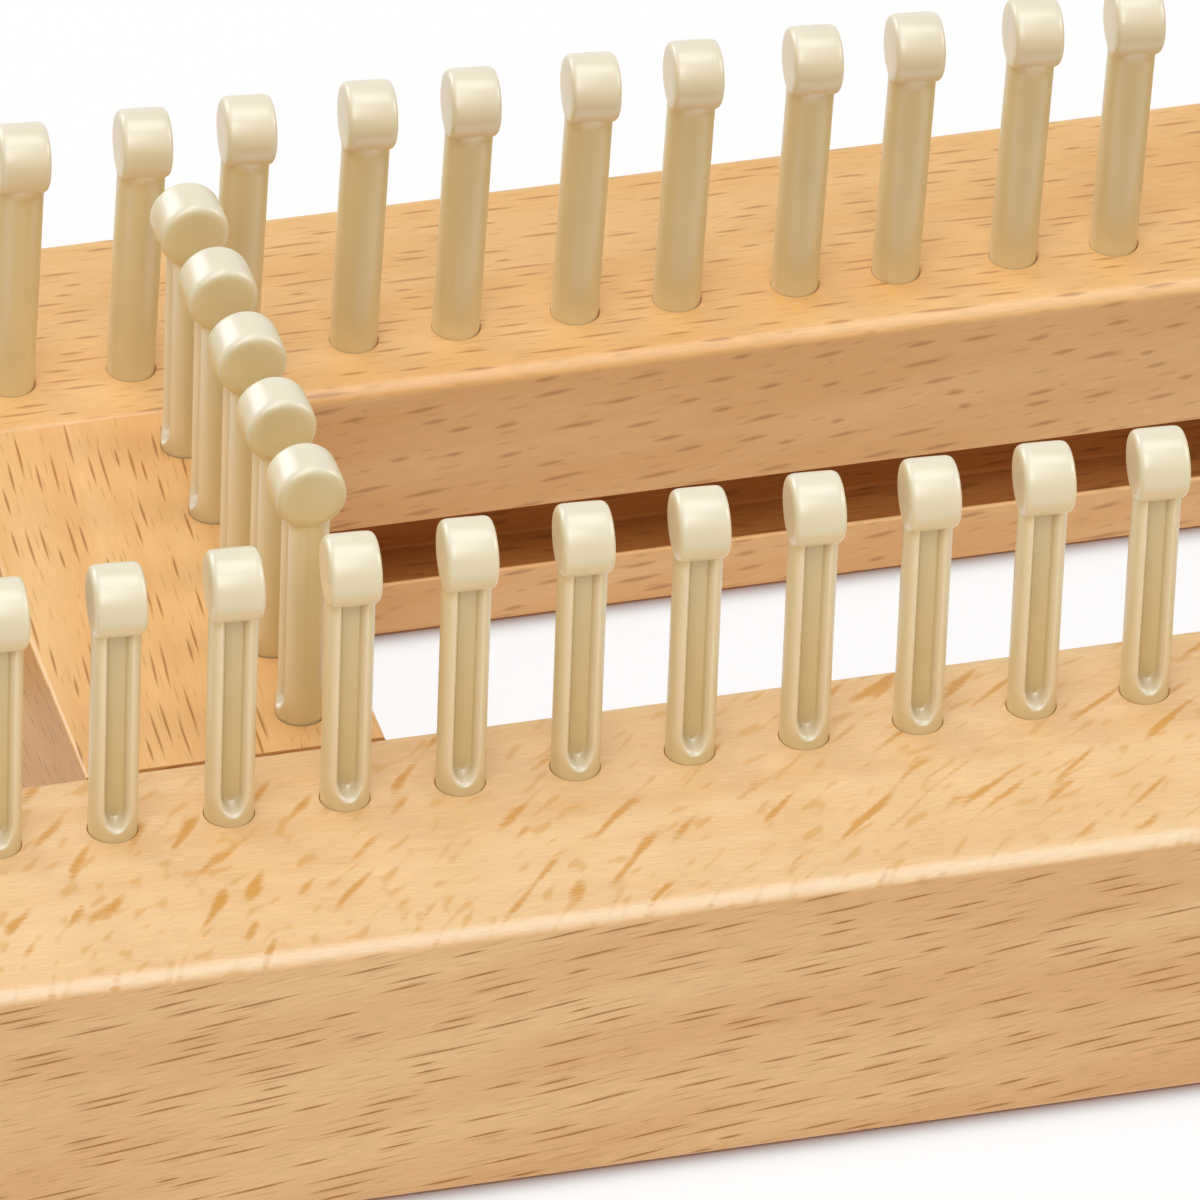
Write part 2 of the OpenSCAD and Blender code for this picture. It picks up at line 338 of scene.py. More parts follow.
def wood_cut(tree, place, turn, tones, fibre, shine, marks):
    """Surface of one cut of the wood: soft growth bands, fine fibre and the marks that its rays leave"""
    growth = drawn_out(tree, place, turn, growth_cell, 3)
    spread = add(tree, "ShaderNodeMapRange", {"Value": growth, "From Min": 0.35, "From Max": 0.65})
    tone = add(tree, "ShaderNodeMix", {"Factor": spread.outputs[0], "A": colour(tones[0]),
                                       "B": colour(tones[1])}, data_type="RGBA")
    thread = drawn_out(tree, place, turn, fibre_cell, 2)
    shade = add(tree, "ShaderNodeMapRange", {"Value": thread, "From Min": 0.3, "From Max": 0.7,
                                             "To Min": 1 - fibre, "To Max": 1 + fibre})
    look = add(tree, "ShaderNodeVectorMath", {0: tone.outputs["Result"], 1: shade.outputs[0]},
               operation="MULTIPLY").outputs[0]
    for kind, tint, strength, sizes in marks:
        amount = kind(tree, turn=turn, thread=thread, **{"place": place, **sizes})
        amount.inputs["To Max"].default_value = strength
        look = add(tree, "ShaderNodeMix", {"Factor": amount.outputs[0], "A": look, "B": colour(tint)},
                   data_type="RGBA").outputs["Result"]
    gloss = add(tree, "ShaderNodeMapRange", {"Value": thread, "To Min": 0.5, "To Max": 0.34})
    relief = add(tree, "ShaderNodeBump", {"Height": thread, "Strength": 0.2, "Distance": fibre_relief})
    return add(tree, "ShaderNodeBsdfPrincipled", {"Base Color": look, "Roughness": gloss.outputs[0],
                                                  "Normal": relief.outputs[0],
                                                  "Specular IOR Level": shine}).outputs[0]


def beech(name, grain_axis, place_of, top, side, end):
    """Sanded beech with a clear satin finish. Its top and underside, its sides and its sawn ends are
    different cuts of the wood, told apart by the way the surface faces, and the upper edges are rubbed
    glossier. The grain wavers a little"""
    material, tree, output = new_material(name)
    spot = add(tree, "ShaderNodeTexCoord", {}).outputs["Object"]
    waver = add(tree, "ShaderNodeTexNoise", {"Vector": spot, "Scale": 1 / waver_cell})
    centred = add(tree, "ShaderNodeVectorMath", {0: waver.outputs["Color"], 1: (0.5, 0.5, 0.5)},
                  operation="SUBTRACT")
    place = add(tree, "ShaderNodeVectorMath", {0: centred.outputs[0], 1: (waver_reach,) * 3, 2: spot},
                operation="MULTIPLY_ADD").outputs[0]
    if place_of:
        leaning = place_of(tree, place)
        top = dict(top, marks=[(kind, tint, strength, dict(sizes, place=leaning))
                               for kind, tint, strength, sizes in top["marks"]])
    rubbed = rounded_edges(tree)
    rubbed.inputs["To Min"].default_value = top["shine"]
    rubbed.inputs["To Max"].default_value = rubbed_shine
    top = dict(top, shine=rubbed.outputs[0])
    surface = wood_cut(tree, place, **side)
    ways = facing(tree)
    for cut, way in ((top, "Z"), (end, grain_axis)):
        share = add(tree, "ShaderNodeMapRange", {"Value": ways[way], "From Min": 0.15, "From Max": 0.45},
                    interpolation_type="SMOOTHSTEP")
        surface = add(tree, "ShaderNodeMixShader", {0: share.outputs[0], 1: surface,
                                                    2: wood_cut(tree, place, **cut)}).outputs[0]
    tree.links.new(surface, output.inputs["Surface"])
    return material


fleck_lean_x = (-110 * mm, 10 * mm)
fleck_lean = (-0.55, -1.4)


def slanted_flecks(tree, place):
    """Coordinates in which a fleck across the grain leans over, more so towards the right end"""
    parts = add(tree, "ShaderNodeSeparateXYZ", {0: place})
    lean = add(tree, "ShaderNodeMapRange", {"Value": parts.outputs["X"], "From Min": fleck_lean_x[0],
                                            "From Max": fleck_lean_x[1], "To Min": fleck_lean[0],
                                            "To Max": fleck_lean[1]})
    depth = add(tree, "ShaderNodeMath", {0: parts.outputs["Y"], 1: -(rail_low.y + rail_high.y) / 2},
                operation="ADD")
    moved = add(tree, "ShaderNodeMath", {0: lean.outputs[0], 1: depth.outputs[0], 2: parts.outputs["X"]},
                operation="MULTIPLY_ADD")
    return add(tree, "ShaderNodeCombineXYZ", {"X": moved.outputs[0], "Y": parts.outputs["Y"]}).outputs[0]


along = (0, 0, 0)
along_side = (math.pi / 2, math.radians(-6), 0)
end_on = (math.pi / 2, 0, math.pi / 2)
front_top = dict(turn=along, tones=("#F1CD9A", "#EBC18B"), fibre=0.07, shine=0.5, marks=[
    (flecks, "#D59840", 0.9, dict(cell=(1.9 * mm, 5.2 * mm), start=0.7, soft=0.16, fray=0.3)),
    (flecks, "#DBA352", 0.55, dict(cell=(1.5 * mm, 1.8 * mm), start=0.66, soft=0.2, fray=0.35)),
    # The rounded upper edges are painted paler in colour: a painted highlight along them
    (rounded_edges, "#FFECD4", 0.25, {}),
])
front_side = dict(turn=along_side, tones=("#E4BB85", "#DCAC76"), fibre=0.07, shine=0.4, marks=[
    (dashes, "#9C621E", 0.9, dict(cell=(14 * mm, 0.95 * mm), length=10.5 * mm, thick=0.32 * mm, soft=0.9)),
    (dashes, "#A8763E", 0.45, dict(cell=(9 * mm, 0.7 * mm), length=6.5 * mm, thick=0.2 * mm, soft=0.9)),
])
rail_end = dict(turn=end_on, tones=("#DFAE74", "#CF9A60"), fibre=0.08, shine=0.2, marks=[
    (flecks, "#A5743F", 0.6, dict(cell=(5 * mm, 0.3 * mm), start=0.6, soft=0.15, fray=0.1)),
])
milled = dict(turn=(math.pi / 4, 0, 0), tones=("#B77941", "#A86C37"), fibre=0.08, shine=0.15, marks=[
    (flecks, "#7A4E28", 0.5, dict(cell=(4 * mm, 0.4 * mm), start=0.68, soft=0.12, fray=0.1)),
])


def milled_beech():
    """Beech as the cutter leaves it, without the finish: darker in tone than the finished faces, and dull
    """
    material, tree, output = new_material("milled_beech")
    coords = add(tree, "ShaderNodeTexCoord", {})
    tree.links.new(wood_cut(tree, coords.outputs["Object"], **milled), output.inputs["Surface"])
    return material


def show_milled_groove(rail, inner, inward):
    """Gives the faces of a rail's groove the milled wood"""
    rail.data.materials.append(groove_beech)
    for face in rail.data.polygons:
        deep = (inner - face.center.y) * inward > groove_round
        level = groove_low - tiny < face.center.z < groove_high + tiny
        if deep and level and abs(face.normal.x) < 0.5:
            face.material_index = 1


groove_beech = milled_beech()
front_beech = beech("sanded_beech_quarter_sawn", "X", slanted_flecks, front_top, front_side, rail_end)
front_rail = placed_piece("front_rail_beech", front_rail_mesh, front_beech, wood_sharp, "loom_frame",
                          "rail_wood", "front_rail")
show_milled_groove(front_rail, rail_high.y, 1)

# Rear rail: the same milled beech bar turned round, from a board that is flat-sawn on top too, so every
# face shows the short brown ends of the rays. The jig for its peg holes had some slack: the holes are out
# of step by turns, sit a little to the left and lean to the right.
jig_slack = 0.36 * mm
jig_shift = -0.5 * mm
jig_lean = math.radians(1.8)
rear_row = row_places("rear_rail_pegs")
for i, foot in enumerate(rear_row):
    foot.x += jig_shift + jig_slack * (-1) ** i
rear_rail_mesh = drilled_rail("rear_rail", -1, rail_round, rear_row, jig_lean)
rear_top = dict(turn=along, tones=("#F1C282", "#EBB773"), fibre=0.05, shine=0.5, marks=[
    (dashes, "#AC6C28", 0.7, dict(cell=(10 * mm, 1.4 * mm), length=8 * mm, thick=0.5 * mm, soft=1)),
    (dashes, "#C08A48", 0.35, dict(cell=(7 * mm, 0.9 * mm), length=4.5 * mm, thick=0.35 * mm, soft=1)),
])
rear_side = dict(turn=along_side, tones=("#E6BC88", "#DEAF77"), fibre=0.04, shine=0.4, marks=[
    (dashes, "#985A22", 0.5, dict(cell=(9 * mm, 1.7 * mm), length=6 * mm, thick=0.7 * mm, soft=1)),
    (dashes, "#AC7442", 0.3, dict(cell=(7 * mm, 1.1 * mm), length=3.5 * mm, thick=0.4 * mm, soft=1)),
])
rear_beech = beech("sanded_beech_flat_sawn", "X", None, rear_top, rear_side, rail_end)
rear_rail = placed_piece("rear_rail_beech", rear_rail_mesh, rear_beech, wood_sharp, "loom_frame",
                         "rail_wood", "rear_rail")
show_milled_groove(rear_rail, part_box("rear_rail")[0].y, -1)

# Fixed end block: a short beech block with its grain across the loom and a tongue along each side. The
# tongues sit in the rails' grooves, and the right clamp bolt passes through it and holds it fast.
block_round = 0.45 * mm
block_side_round = 0.2 * mm
end_tongue_low = 5.3 * mm
end_tongue_high = 11.1 * mm


def tongued_block(low, high, half_w, middle_y, tongue_low, tongue_high):
    """Block across the loom, its body that wide and its tongues out to the box's sides"""
    bm = bmesh.new()
    left, right = middle_y - half_w, middle_y + half_w
    section = [(left, low.z), (right, low.z)]
    if tongue_low > low.z + tiny:
        section += [(right, tongue_low)]
    section += [(high.y, tongue_low), (high.y, tongue_high), (right, tongue_high), (right, high.z),
                (left, high.z), (left, tongue_high), (low.y, tongue_high), (low.y, tongue_low)]
    if tongue_low > low.z + tiny:
        section += [(left, tongue_low)]
    extruded(bm, [(low.x, y, z) for y, z in section], (high.x - low.x, 0, 0))

    def across(a, b):
        return abs(a.y - b.y) > 2 * half_w - mm and abs(a.x - b.x) < tiny

    def along(a, b):
        return abs(a.x - b.x) > mm and (a.z > high.z - tiny or abs(a.y - middle_y) > half_w + mm)

    round_edges(bm, block_round, 4, across)
    round_edges(bm, block_side_round, 2, along)
    return as_mesh(bm, "tongued_block")


def drilled_block(node, pegs, side_gap, tongue_low, tongue_high):
    """Tongued block with its row of peg holes, its top at their mouths"""
    low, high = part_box(node)
    high.z = pegs[0].z
    middle_y = (low.y + high.y) / 2
    half_w = (rear_inner_y - front_inner_y) / 2 - side_gap
    block = tongued_block(low, high, half_w, middle_y, tongue_low, tongue_high)
    holes = copies("holes", peg_hole(), [Matrix.Translation(foot) for foot in pegs])
    return combined(node, block, holes, "DIFFERENCE")


def block_row(names, shift, top_z):
    """Feet of the pegs of a block, from their boxes, moved along the loom"""
    corners = [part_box(name) for name in names]
    return [Vector(((low.x + high.x) / 2 + shift, (low.y + high.y) / 2, top_z)) for low, high in corners]


front_inner_y = rail_high.y
rear_inner_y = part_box("rear_rail")[0].y
block_peg_count = 5
end_peg_nodes = [f"end_peg_{i}" for i in range(1, block_peg_count + 1)]
slider_peg_nodes = [f"slider_peg_{i}" for i in range(1, block_peg_count + 1)]
block_top_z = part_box("end_block")[1].z
end_row = block_row(end_peg_nodes, 0, block_top_z)
end_block_mesh = drilled_block("end_block", end_row, 0, end_tongue_low, end_tongue_high)
crossing = Matrix.Translation((right_bolt_x, (front_inner_y + rear_inner_y) / 2, bolt_z))
crossing = crossing @ Matrix.Rotation(math.pi / 2, 4, "X")
bolt_way = copies("bolt_way", bolt_hole(rear_inner_y - front_inner_y), [crossing])
end_block_mesh = combined("end_block", end_block_mesh, bolt_way, "DIFFERENCE")
across_top = (0, 0, math.radians(86))
block_top = dict(turn=across_top, tones=("#F4C586", "#EDB775"), fibre=0.03, shine=0.4, marks=[
    (dashes, "#AA6820", 0.85, dict(cell=(13 * mm, 1.1 * mm), length=10 * mm, thick=0.36 * mm, soft=0.9)),
    (dashes, "#C48C48", 0.4, dict(cell=(8 * mm, 0.8 * mm), length=5 * mm, thick=0.25 * mm, soft=0.9)),
])
block_side = dict(turn=end_on, tones=("#EAB97A", "#E2AD6D"), fibre=0.06, shine=0.15, marks=[
    (dashes, "#9C6C3C", 0.8, dict(cell=(8 * mm, 1 * mm), length=7 * mm, thick=0.3 * mm, soft=0.9)),
])
block_end = dict(turn=along_side, tones=("#D9A76C", "#CB955A"), fibre=0.08, shine=0.2, marks=[
    (flecks, "#A06E3A", 0.6, dict(cell=(4 * mm, 0.3 * mm), start=0.6, soft=0.15, fray=0.1)),
])
block_beech = beech("sanded_beech_across", "Y", None, block_top, block_side, block_end)
placed_piece("end_block_beech", end_block_mesh, block_beech, wood_sharp, "loom_frame", "block_wood",
             "end_block")

# Sliding block: the same kind of beech block, looser in the grooves, so that it runs along the rails when
# the wing nuts are slack. It rocks back a little in them and stands slightly proud, and its row of pegs,
# drilled a touch to the left, closes the loop of pegs at that end.
slide_gap = 0.1 * mm
slider_rise = 0.5 * mm
slider_rock = math.radians(0.45)
slider_peg_rise = 0.17 * mm
slider_row_shift = -0.55 * mm
slider_tongue_low = 5.45 * mm
slider_tongue_high = 10.95 * mm
slider_row = block_row(slider_peg_nodes, slider_row_shift, block_top_z + slider_rise)
slider_mesh = drilled_block("slider_block", slider_row, slide_gap, slider_tongue_low, slider_tongue_high)
slider_low, slider_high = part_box("slider_block")
pivot = Matrix.Translation((slider_low + slider_high) / 2)
slider_mesh.transform(pivot @ Matrix.Rotation(slider_rock, 4, "X") @ pivot.inverted())
placed_piece("slider_block_beech", slider_mesh, block_beech, wood_sharp, "slider", "block_wood",
             "slider_block")

# Pegs: cream nylon, injection moulded in one piece and pressed into the wood. A barrel-shaped head holds
# the loop, and a hook groove with a round lower end runs up the outer side of the shaft into the head.
shaft_r = 2 * mm
peg_height = 25.2 * mm
head_r = 2.95 * mm
head_z = peg_height - head_r
head_squareness = 8
head_steps = 18
hook_foot = 0.8 * mm
hook_mouth_r = 1.15 * mm
hook_wall = 0.5 * mm
hook_end_slope = 0.6
hook_floor_y = -0.55 * mm
hook_floor_bow = 0.15 * mm
neck_low_z = 19.1 * mm
neck_high_z = 20.3 * mm
neck_flare = 0.3 * mm
neck_inset = 0.02 * mm
neck_widening = peg_head_w / 2 - shaft_r - neck_inset
peg_sides = 64
peg_sharp = 40
hook_low_z = hook_foot + hook_mouth_r / hook_end_slope
hook_rows = 17
hook_row_lead = 0.1 * mm
hook_row_step = 0.15 * mm
hook_crowding = 0.6
hook_turn = -3.7
nylon_cloud = 4 * mm
thin_lip = 1.3 * mm
hollow_reach = 1.6 * mm


def eased(t):
    """Goes smoothly from 0 to 1 as t does"""
    t = min(max(t, 0), 1)
    return t * t * (3 - 2 * t)


def shaft_point(turn, z):
    """Point of the shaft's skin at an angle from its front, with the hook groove pressed in and the neck
    flared into the head"""
    neck = eased((z - neck_low_z) / (neck_high_z - neck_low_z))
    x = (shaft_r + neck_widening * neck) * math.sin(turn)
    y = -(shaft_r + neck_flare * neck) * math.cos(turn)
    inside = hook_mouth_r - math.hypot(x, hook_end_slope * max(hook_low_z - z, 0))
    if y < 0:
        floor = hook_floor_y - hook_floor_bow * (x / hook_mouth_r) ** 2
        y += (floor - y) * eased(inside / hook_wall)
    return Vector((x, y, z))


# Heights of the shaft's rings of points, close together where the hook groove ends and the neck flares
shaft_rows = [-peg_hole_depth, -0.3 * mm, 0, 0.4 * mm]
shaft_rows += [hook_foot - hook_row_lead + hook_row_step * i for i in range(hook_rows)]
shaft_rows += [z * mm for z in (5, 10, 15, 18.5, 19.1, 19.35, 19.6, 19.85, 20.1, 20.3, 21)]
shaft = bmesh.new()
bmesh.ops.create_grid(shaft, x_segments=peg_sides, y_segments=len(shaft_rows) - 1, size=1)
for vert in shaft.verts:
    closer = (1 - hook_crowding) * vert.co.x + hook_crowding * vert.co.x ** 3
    row = round((vert.co.y + 1) / 2 * (len(shaft_rows) - 1))
    vert.co = shaft_point(math.pi * closer, shaft_rows[row])
bmesh.ops.remove_doubles(shaft, verts=shaft.verts, dist=tiny)
bmesh.ops.holes_fill(shaft, edges=shaft.edges, sides=0)
bmesh.ops.recalc_face_normals(shaft, faces=shaft.faces)
head = bmesh.new()
half_w = peg_head_w / 2
head_outline = []
for i in range(head_steps + 1):
    arc = math.pi * (i / head_steps - 0.5)
    out = max(math.cos(arc), 0) ** (2 / head_squareness)
    up = math.copysign(abs(math.sin(arc)) ** (2 / head_squareness), arc)
    head_outline.append((head_r * out, half_w * up))
turned(head, head_outline, peg_sides)
lying = Matrix.Translation((0, 0, head_z)) @ Matrix.Rotation(math.pi / 2, 4, "Y")
bmesh.ops.transform(head, matrix=lying, verts=head.verts)
peg_mesh = combined("peg", as_mesh(shaft, "shaft"), as_mesh(head, "head"), "UNION")


def nylon(name, head_painted_light):
    """Moulded cream nylon: a milky plastic under a clear gloss. Its colour carries painted light: faces
    turned up are painted whiter and faces turned sideways warmer, thin lips are painted lighter as a glow
    and the hook groove is painted darker as shade. The head can be painted paler all round, as if it stood
    in open light"""
    material, tree, output = new_material(name)
    coords = add(tree, "ShaderNodeTexCoord", {})
    cloud = add(tree, "ShaderNodeTexNoise", {"Vector": coords.outputs["Object"], "Scale": 1 / nylon_cloud})
    ways = add(tree, "ShaderNodeSeparateXYZ", {0: coords.outputs["Normal"]})
    # Faces turned up are painted whiter and faces turned sideways warmer: painted light from above
    painted_top_light = add(tree, "ShaderNodeMapRange", {"Value": ways.outputs["Z"], "From Min": -0.2, "From Max": 0.8})
    places = add(tree, "ShaderNodeSeparateXYZ", {0: coords.outputs["Object"]})
    # The head is painted paler by the given amount, as if it stood in open light: painted light
    painted_head_share = add(tree, "ShaderNodeMapRange", {"Value": places.outputs["Z"],
                                               "From Min": rail_high.z + neck_low_z,
                                               "From Max": rail_high.z + neck_high_z, "To Max": head_painted_light})
    painted_top_light = add(tree, "ShaderNodeMath", {0: painted_top_light.outputs[0], 1: painted_head_share.outputs[0]}, operation="MAXIMUM")
    tone = add(tree, "ShaderNodeMix", {"Factor": painted_top_light.outputs[0], "A": colour("#D8C286"),
                                       "B": colour("#E9DFC4")}, data_type="RGBA")
    shade = add(tree, "ShaderNodeMapRange", {"Value": cloud.outputs[0], "To Min": 0.95, "To Max": 1.05})
    look = add(tree, "ShaderNodeVectorMath", {0: tone.outputs["Result"], 1: shade.outputs[0]},
               operation="MULTIPLY")
    # Where the plastic is thin its colour is painted lighter: a painted glow of light coming through the
    # lips
    depth = add(tree, "ShaderNodeAmbientOcclusion", {"Distance": thin_lip}, samples=6, inside=True,
                only_local=True)
    painted_lip_glow = add(tree, "ShaderNodeMapRange", {"Value": depth.outputs["AO"], "From Min": 0.72,
                                            "From Max": 0.3})
    look = add(tree, "ShaderNodeMix", {"Factor": painted_lip_glow.outputs[0], "A": look.outputs[0],
                                       "B": colour("#FAEED0")}, data_type="RGBA")
    # Hollows such as the hook groove are painted darker by their occlusion: painted shade
    open_air = add(tree, "ShaderNodeAmbientOcclusion", {"Distance": hollow_reach}, samples=6,
                   only_local=True)
    painted_groove_shade = add(tree, "ShaderNodeMapRange", {"Value": open_air.outputs["AO"], "From Min": 0.85,
                                               "From Max": 0.5, "To Max": 0.45})
    look = add(tree, "ShaderNodeMix", {"Factor": painted_groove_shade.outputs[0], "A": look.outputs["Result"],
                                       "B": colour("#A98E5A")}, data_type="RGBA")
    gloss = add(tree, "ShaderNodeMapRange", {"Value": cloud.outputs[0], "To Min": 0.27, "To Max": 0.33})
    shader = add(tree, "ShaderNodeBsdfPrincipled", {"Base Color": look.outputs["Result"], "IOR": 1.53,
                                                    "Roughness": gloss.outputs[0], "Specular IOR Level": 1})
    tree.links.new(shader.outputs[0], output.inputs["Surface"])
    return material


# Lit and shaded copies of one nylon: the rails' pegs get heads painted paler as if lit, the blocks' pegs do
# not
rail_nylon = nylon("moulded_cream_nylon_painted_lit_heads", 0.6)
block_nylon = nylon("moulded_cream_nylon_shaded", 0)
pressed_row = block_row(slider_peg_nodes, slider_row_shift, block_top_z + slider_peg_rise)
for name, row, lean, face_degrees, plastic, body, nodes in (
    ("front_rail_pegs_nylon", front_row, 0, hook_turn, rail_nylon, "loom_frame", ["front_rail_pegs"]),
    ("rear_rail_pegs_nylon", rear_row, jig_lean, 180 + hook_turn, rail_nylon, "loom_frame",
     ["rear_rail_pegs"]),
    ("slider_pegs_nylon", pressed_row, 0, -90, block_nylon, "slider", slider_peg_nodes),
    ("end_pegs_nylon", end_row, 0, 90, block_nylon, "loom_frame", end_peg_nodes),
):
    faced = Matrix.Rotation(lean, 4, "Y") @ Matrix.Rotation(math.radians(face_degrees), 4, "Z")
    places = [Matrix.Translation(foot) @ faced for foot in row]
    placed_piece(name, copies(name, peg_mesh, places), plastic, peg_sharp, body, "nylon", *nodes)

# Clamp bolts: M5 carriage bolts, cold headed and bright zinc plated, with a domed head, a square neck that
# bites into the front rail and a rolled thread on the rear end for the wing nut.
bolt_r = 2.5 * mm
thread_root_r = 2.1 * mm
thread_pitch = 0.8 * mm
thread_len = 27 * mm
thread_steps = 28
thread_runout = 0.4 * mm
thread_lead = 0.6 * mm
ridge_sink = 0.15 * mm
ridge_half_foot = 0.36 * mm
ridge_half_crest = 0.06 * mm
shank_sides = 40
dome_h = 3.3 * mm
dome_r = 6.75 * mm
dome_rim = 0.5 * mm
dome_rim_break = 0.2 * mm
dome_steps = 10
dome_sides = 56
head_sink = 0.5 * mm
bolt_sharp = 35
zinc_cloud = 5 * mm
zinc_grain = 0.4 * mm
zinc_relief = 0.05 * mm
neck_len = 3.5 * mm
neck_round = 0.3 * mm
tip_chamfer = 0.7 * mm
bolt_front_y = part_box("front_rail")[0].y
bolt_len = bolt_high.y - bolt_front_y
plain_len = bolt_len - thread_len
dome_sphere_r = (dome_r ** 2 + (dome_h - dome_rim) ** 2) / (2 * (dome_h - dome_rim))
dome_arc = math.asin(dome_r / dome_sphere_r)
dome_outline = [(0, 0), (dome_r - dome_rim_break, 0), (dome_r, -dome_rim_break), (dome_r, -dome_rim)]
for i in range(1, dome_steps + 1):
    arc = dome_arc * (1 - i / dome_steps)
    dome_outline.append((dome_sphere_r * math.sin(arc),
                         dome_sphere_r - dome_h - dome_sphere_r * math.cos(arc)))
core = bmesh.new()
turned(core, [(0, -head_sink), (bolt_r, -head_sink), (bolt_r, plain_len),
              (thread_root_r, plain_len + thread_runout), (thread_root_r, bolt_len - tip_chamfer / 2),
              (thread_root_r - tip_chamfer / 2, bolt_len), (0, bolt_len)], shank_sides)
dome = bmesh.new()
turned(dome, dome_outline, dome_sides)
neck = bmesh.new()
bmesh.ops.create_cube(neck, size=2 * bolt_r)
bmesh.ops.scale(neck, vec=(1, 1, (neck_len + head_sink) / (2 * bolt_r)), verts=neck.verts)
bmesh.ops.translate(neck, vec=(0, 0, (neck_len - head_sink) / 2), verts=neck.verts)
round_edges(neck, neck_round, 3, lambda a, b: abs(a.z - b.z) > mm)
thread = bmesh.new()
ridge = [(thread_root_r - ridge_sink, -ridge_half_foot), (bolt_r, -ridge_half_crest),
         (bolt_r, ridge_half_crest), (thread_root_r - ridge_sink, ridge_half_foot)]
ridge_face = thread.faces.new([thread.verts.new((r, 0, plain_len + thread_lead + z)) for r, z in ridge])
thread_turns = (thread_len - 2 * thread_lead) / thread_pitch
bmesh.ops.spin(thread, geom=[ridge_face], axis=(0, 0, 1), cent=(0, 0, 0),
               dvec=(0, 0, thread_pitch / thread_steps), angle=2 * math.pi * thread_turns,
               steps=round(thread_steps * thread_turns), use_merge=False, use_duplicate=False)
bmesh.ops.recalc_face_normals(thread, faces=thread.faces)
bolt_mesh = combined("bolt", as_mesh(core, "core"), as_mesh(dome, "dome"), "UNION")
bolt_mesh = combined("bolt", bolt_mesh, as_mesh(neck, "neck"), "UNION")
bolt_mesh = combined("bolt", bolt_mesh, as_mesh(thread, "thread"), "UNION")


def zinc_steel():
    """Bright zinc plate on steel: a pale blue-grey metal, smooth but not polished, faintly cloudy from
    the bath"""
    material, tree, output = new_material("zinc_plated_steel")
    spot = add(tree, "ShaderNodeTexCoord", {}).outputs["Object"]
    cloud = add(tree, "ShaderNodeTexNoise", {"Vector": spot, "Scale": 1 / zinc_cloud, "Detail": 3})
    grain = add(tree, "ShaderNodeTexNoise", {"Vector": spot, "Scale": 1 / zinc_grain})
    tone = add(tree, "ShaderNodeMix", {"Factor": cloud.outputs[0], "A": colour("#CFD2D6"),
                                       "B": colour("#BDBDB8")}, data_type="RGBA")
    gloss = add(tree, "ShaderNodeMapRange", {"Value": cloud.outputs[0], "To Min": 0.24, "To Max": 0.4})
    relief = add(tree, "ShaderNodeBump", {"Height": grain.outputs[0], "Strength": 0.08,
                                          "Distance": zinc_relief})
    shader = add(tree, "ShaderNodeBsdfPrincipled", {"Base Color": tone.outputs["Result"], "Metallic": 1,
                                                    "Roughness": gloss.outputs[0],
                                                    "Normal": relief.outputs[0]})
    tree.links.new(shader.outputs[0], output.inputs["Surface"])
    return material


zinc = zinc_steel()
to_rear = Matrix.Rotation(-math.pi / 2, 4, "X")
for side, x in bolt_places:
    place = Matrix.Translation((x, bolt_front_y, bolt_z)) @ to_rear
    placed_piece(f"{side}_bolt_zinc", copies(f"{side}_bolt", bolt_mesh, [place]), zinc, bolt_sharp,
                 "loom_frame", "zinc_steel", f"{side}_bolt")

# Washers: stamped steel rings, zinc plated, one under each wing nut to keep it from digging into the
# rear rail. The stamp leaves their edges a little rounded.
washer_r = 7.5 * mm
washer_hole_r = 2.65 * mm
washer_round = 0.25 * mm
washer_sides = 64
washer_sharp = 40
washer_low, washer_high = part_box("left_washer")
washer_t = washer_high.y - washer_low.y
washer = bmesh.new()
turned(washer, [(washer_hole_r, 0), (washer_r, 0), (washer_r, washer_t), (washer_hole_r, washer_t),
                (washer_hole_r, 0)], washer_sides)
round_edges(washer, washer_round, 3, lambda a, b: abs(a.z - b.z) < tiny
            and abs(a.xy.length - b.xy.length) < tiny)
washer_mesh = as_mesh(washer, "washer")
for side, x in bolt_places:
    place = Matrix.Translation((x, washer_low.y, bolt_z)) @ to_rear
    placed_piece(f"{side}_washer_zinc", copies(f"{side}_washer", washer_mesh, [place]), zinc, washer_sharp,
                 f"{side}_washer", "zinc_steel", f"{side}_washer")

# Wing nuts: forged in one piece and zinc plated, a tapered hub with two round-tipped wings that grow out
# of it in soft fillets. They turn on the bolts' threads and clamp the rails on the blocks.
hub_base_r = 5 * mm
hub_top_r = 4.2 * mm
hub_h = 6.5 * mm
wing_reach = 12.5 * mm
wing_h = 12.4 * mm
wing_tip_r = 3.9 * mm
wing_t = 2.2 * mm
wing_root = 0.8 * mm
nut_bore_r = 2.55 * mm
nut_bore_edge = 0.5 * mm
hub_sides = 56
wing_steps = 18
forge_voxel = 0.28 * mm
forge_smoothing = 5
nut_sharp = 50
tip = Vector((wing_reach - wing_tip_r, wing_h - wing_tip_r))
wing_lean = math.atan2(tip.y, tip.x)
wing_outline = [(hub_top_r / 2, wing_root)]
for i in range(wing_steps + 1):
    arc = wing_lean - math.pi / 2 + math.pi * i / wing_steps
    wing_outline.append((tip.x + wing_tip_r * math.cos(arc), tip.y + wing_tip_r * math.sin(arc)))
wing_outline.append((hub_top_r / 2, hub_h - wing_root))
wing = bmesh.new()
extruded(wing, [(x, -wing_t / 2, z) for x, z in wing_outline], (0, wing_t, 0))
wing_mesh = as_mesh(wing, "wing")
both = copies("wings", wing_mesh, [Matrix.Rotation(turn, 4, "Z") for turn in (0, math.pi)])
hub = bmesh.new()
turned(hub, [(0, 0), (hub_base_r, 0), (hub_top_r, hub_h), (0, hub_h)], hub_sides)
nut_mesh = combined("nut", as_mesh(hub, "hub"), both, "UNION")
forged = bpy.data.objects.new("forged", nut_mesh)
bpy.context.scene.collection.objects.link(forged)
remesh = forged.modifiers.new("forge", "REMESH")
